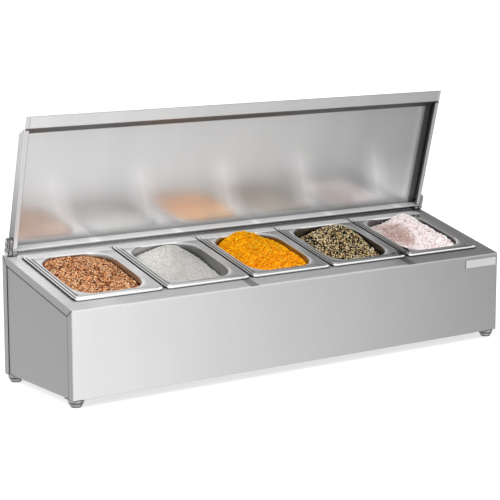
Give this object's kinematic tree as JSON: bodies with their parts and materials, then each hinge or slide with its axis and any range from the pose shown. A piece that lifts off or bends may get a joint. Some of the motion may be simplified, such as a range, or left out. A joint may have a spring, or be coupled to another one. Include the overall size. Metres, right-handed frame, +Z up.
{
  "type": "spice rack",
  "caption": "Countertop spice rack: folded steel housing with a sloped deck, a row of drop-in food pans holding spices, and one long hinged lid.",
  "frame": {"origin": "centre of the footprint of the bounding box, on the surface that the feet stand on", "axes": "+X along the rack to the right as seen from the front, +Y to the back, +Z up"},
  "size_m": [0.86, 0.2168, 0.4265],
  "materials": {
    "housing_steel": "satin",
    "side_steel": "satin",
    "lid_steel": "satin",
    "pan_steel": "satin",
    "hinge_steel": "satin",
    "fastener_steel": "satin",
    "badge_plate": "satin",
    "foot_rubber": "matte",
    "chilli": "matte",
    "white_salt": "matte",
    "turmeric": "matte",
    "pepper_mix": "matte",
    "pink_salt": "matte"
  },
  "bodies": {
    "housing": {"badge_plate": "badge_plate", "foot_back_left": "foot_rubber", "foot_back_right": "foot_rubber", "foot_front_left": "foot_rubber", "foot_front_right": "foot_rubber", "foot_nut_back_left": "fastener_steel", "foot_nut_back_right": "fastener_steel", "foot_nut_front_left": "fastener_steel", "foot_nut_front_right": "fastener_steel", "foot_screw_back_left": "fastener_steel", "foot_screw_back_right": "fastener_steel", "foot_screw_front_left": "fastener_steel", "foot_screw_front_right": "fastener_steel", "hinge_barrel_left": "hinge_steel", "hinge_barrel_right": "hinge_steel", "housing_wrap": "housing_steel", "pivot_bolt_left": "fastener_steel", "pivot_bolt_right": "fastener_steel", "side_panel_left": "side_steel", "side_panel_right": "side_steel"},
    "lid": {"arm_nut_left_high": "fastener_steel", "arm_nut_left_low": "fastener_steel", "arm_nut_right_high": "fastener_steel", "arm_nut_right_low": "fastener_steel", "arm_screw_left_high": "fastener_steel", "arm_screw_left_low": "fastener_steel", "arm_screw_right_high": "fastener_steel", "arm_screw_right_low": "fastener_steel", "hinge_arm_left": "hinge_steel", "hinge_arm_right": "hinge_steel", "lid_shell": "lid_steel"},
    "pan_body_1": {"pan_1": "pan_steel", "spice_1": "chilli"},
    "pan_body_2": {"pan_2": "pan_steel", "spice_2": "white_salt"},
    "pan_body_3": {"pan_3": "pan_steel", "spice_3": "turmeric"},
    "pan_body_4": {"pan_4": "pan_steel", "spice_4": "pepper_mix"},
    "pan_body_5": {"pan_5": "pan_steel", "spice_5": "pink_salt"}
  },
  "joints": [
    {"name": "lid_hinge", "type": "hinge", "parent": "housing", "child": "lid", "pos_m": [0, 0.09704, 0.20709], "axis": [-1, 0, 0], "range_deg": [-90, 20]},
    {"name": "pan_1_lift", "type": "slide", "parent": "housing", "child": "pan_body_1", "axis": [0, -0.2455, 0.9694], "range_m": [0, 0.115]},
    {"name": "pan_2_lift", "type": "slide", "parent": "housing", "child": "pan_body_2", "axis": [0, -0.2455, 0.9694], "range_m": [0, 0.115]},
    {"name": "pan_3_lift", "type": "slide", "parent": "housing", "child": "pan_body_3", "axis": [0, -0.2455, 0.9694], "range_m": [0, 0.115]},
    {"name": "pan_4_lift", "type": "slide", "parent": "housing", "child": "pan_body_4", "axis": [0, -0.2455, 0.9694], "range_m": [0, 0.115]},
    {"name": "pan_5_lift", "type": "slide", "parent": "housing", "child": "pan_body_5", "axis": [0, -0.2455, 0.9694], "range_m": [0, 0.115]}
  ]
}
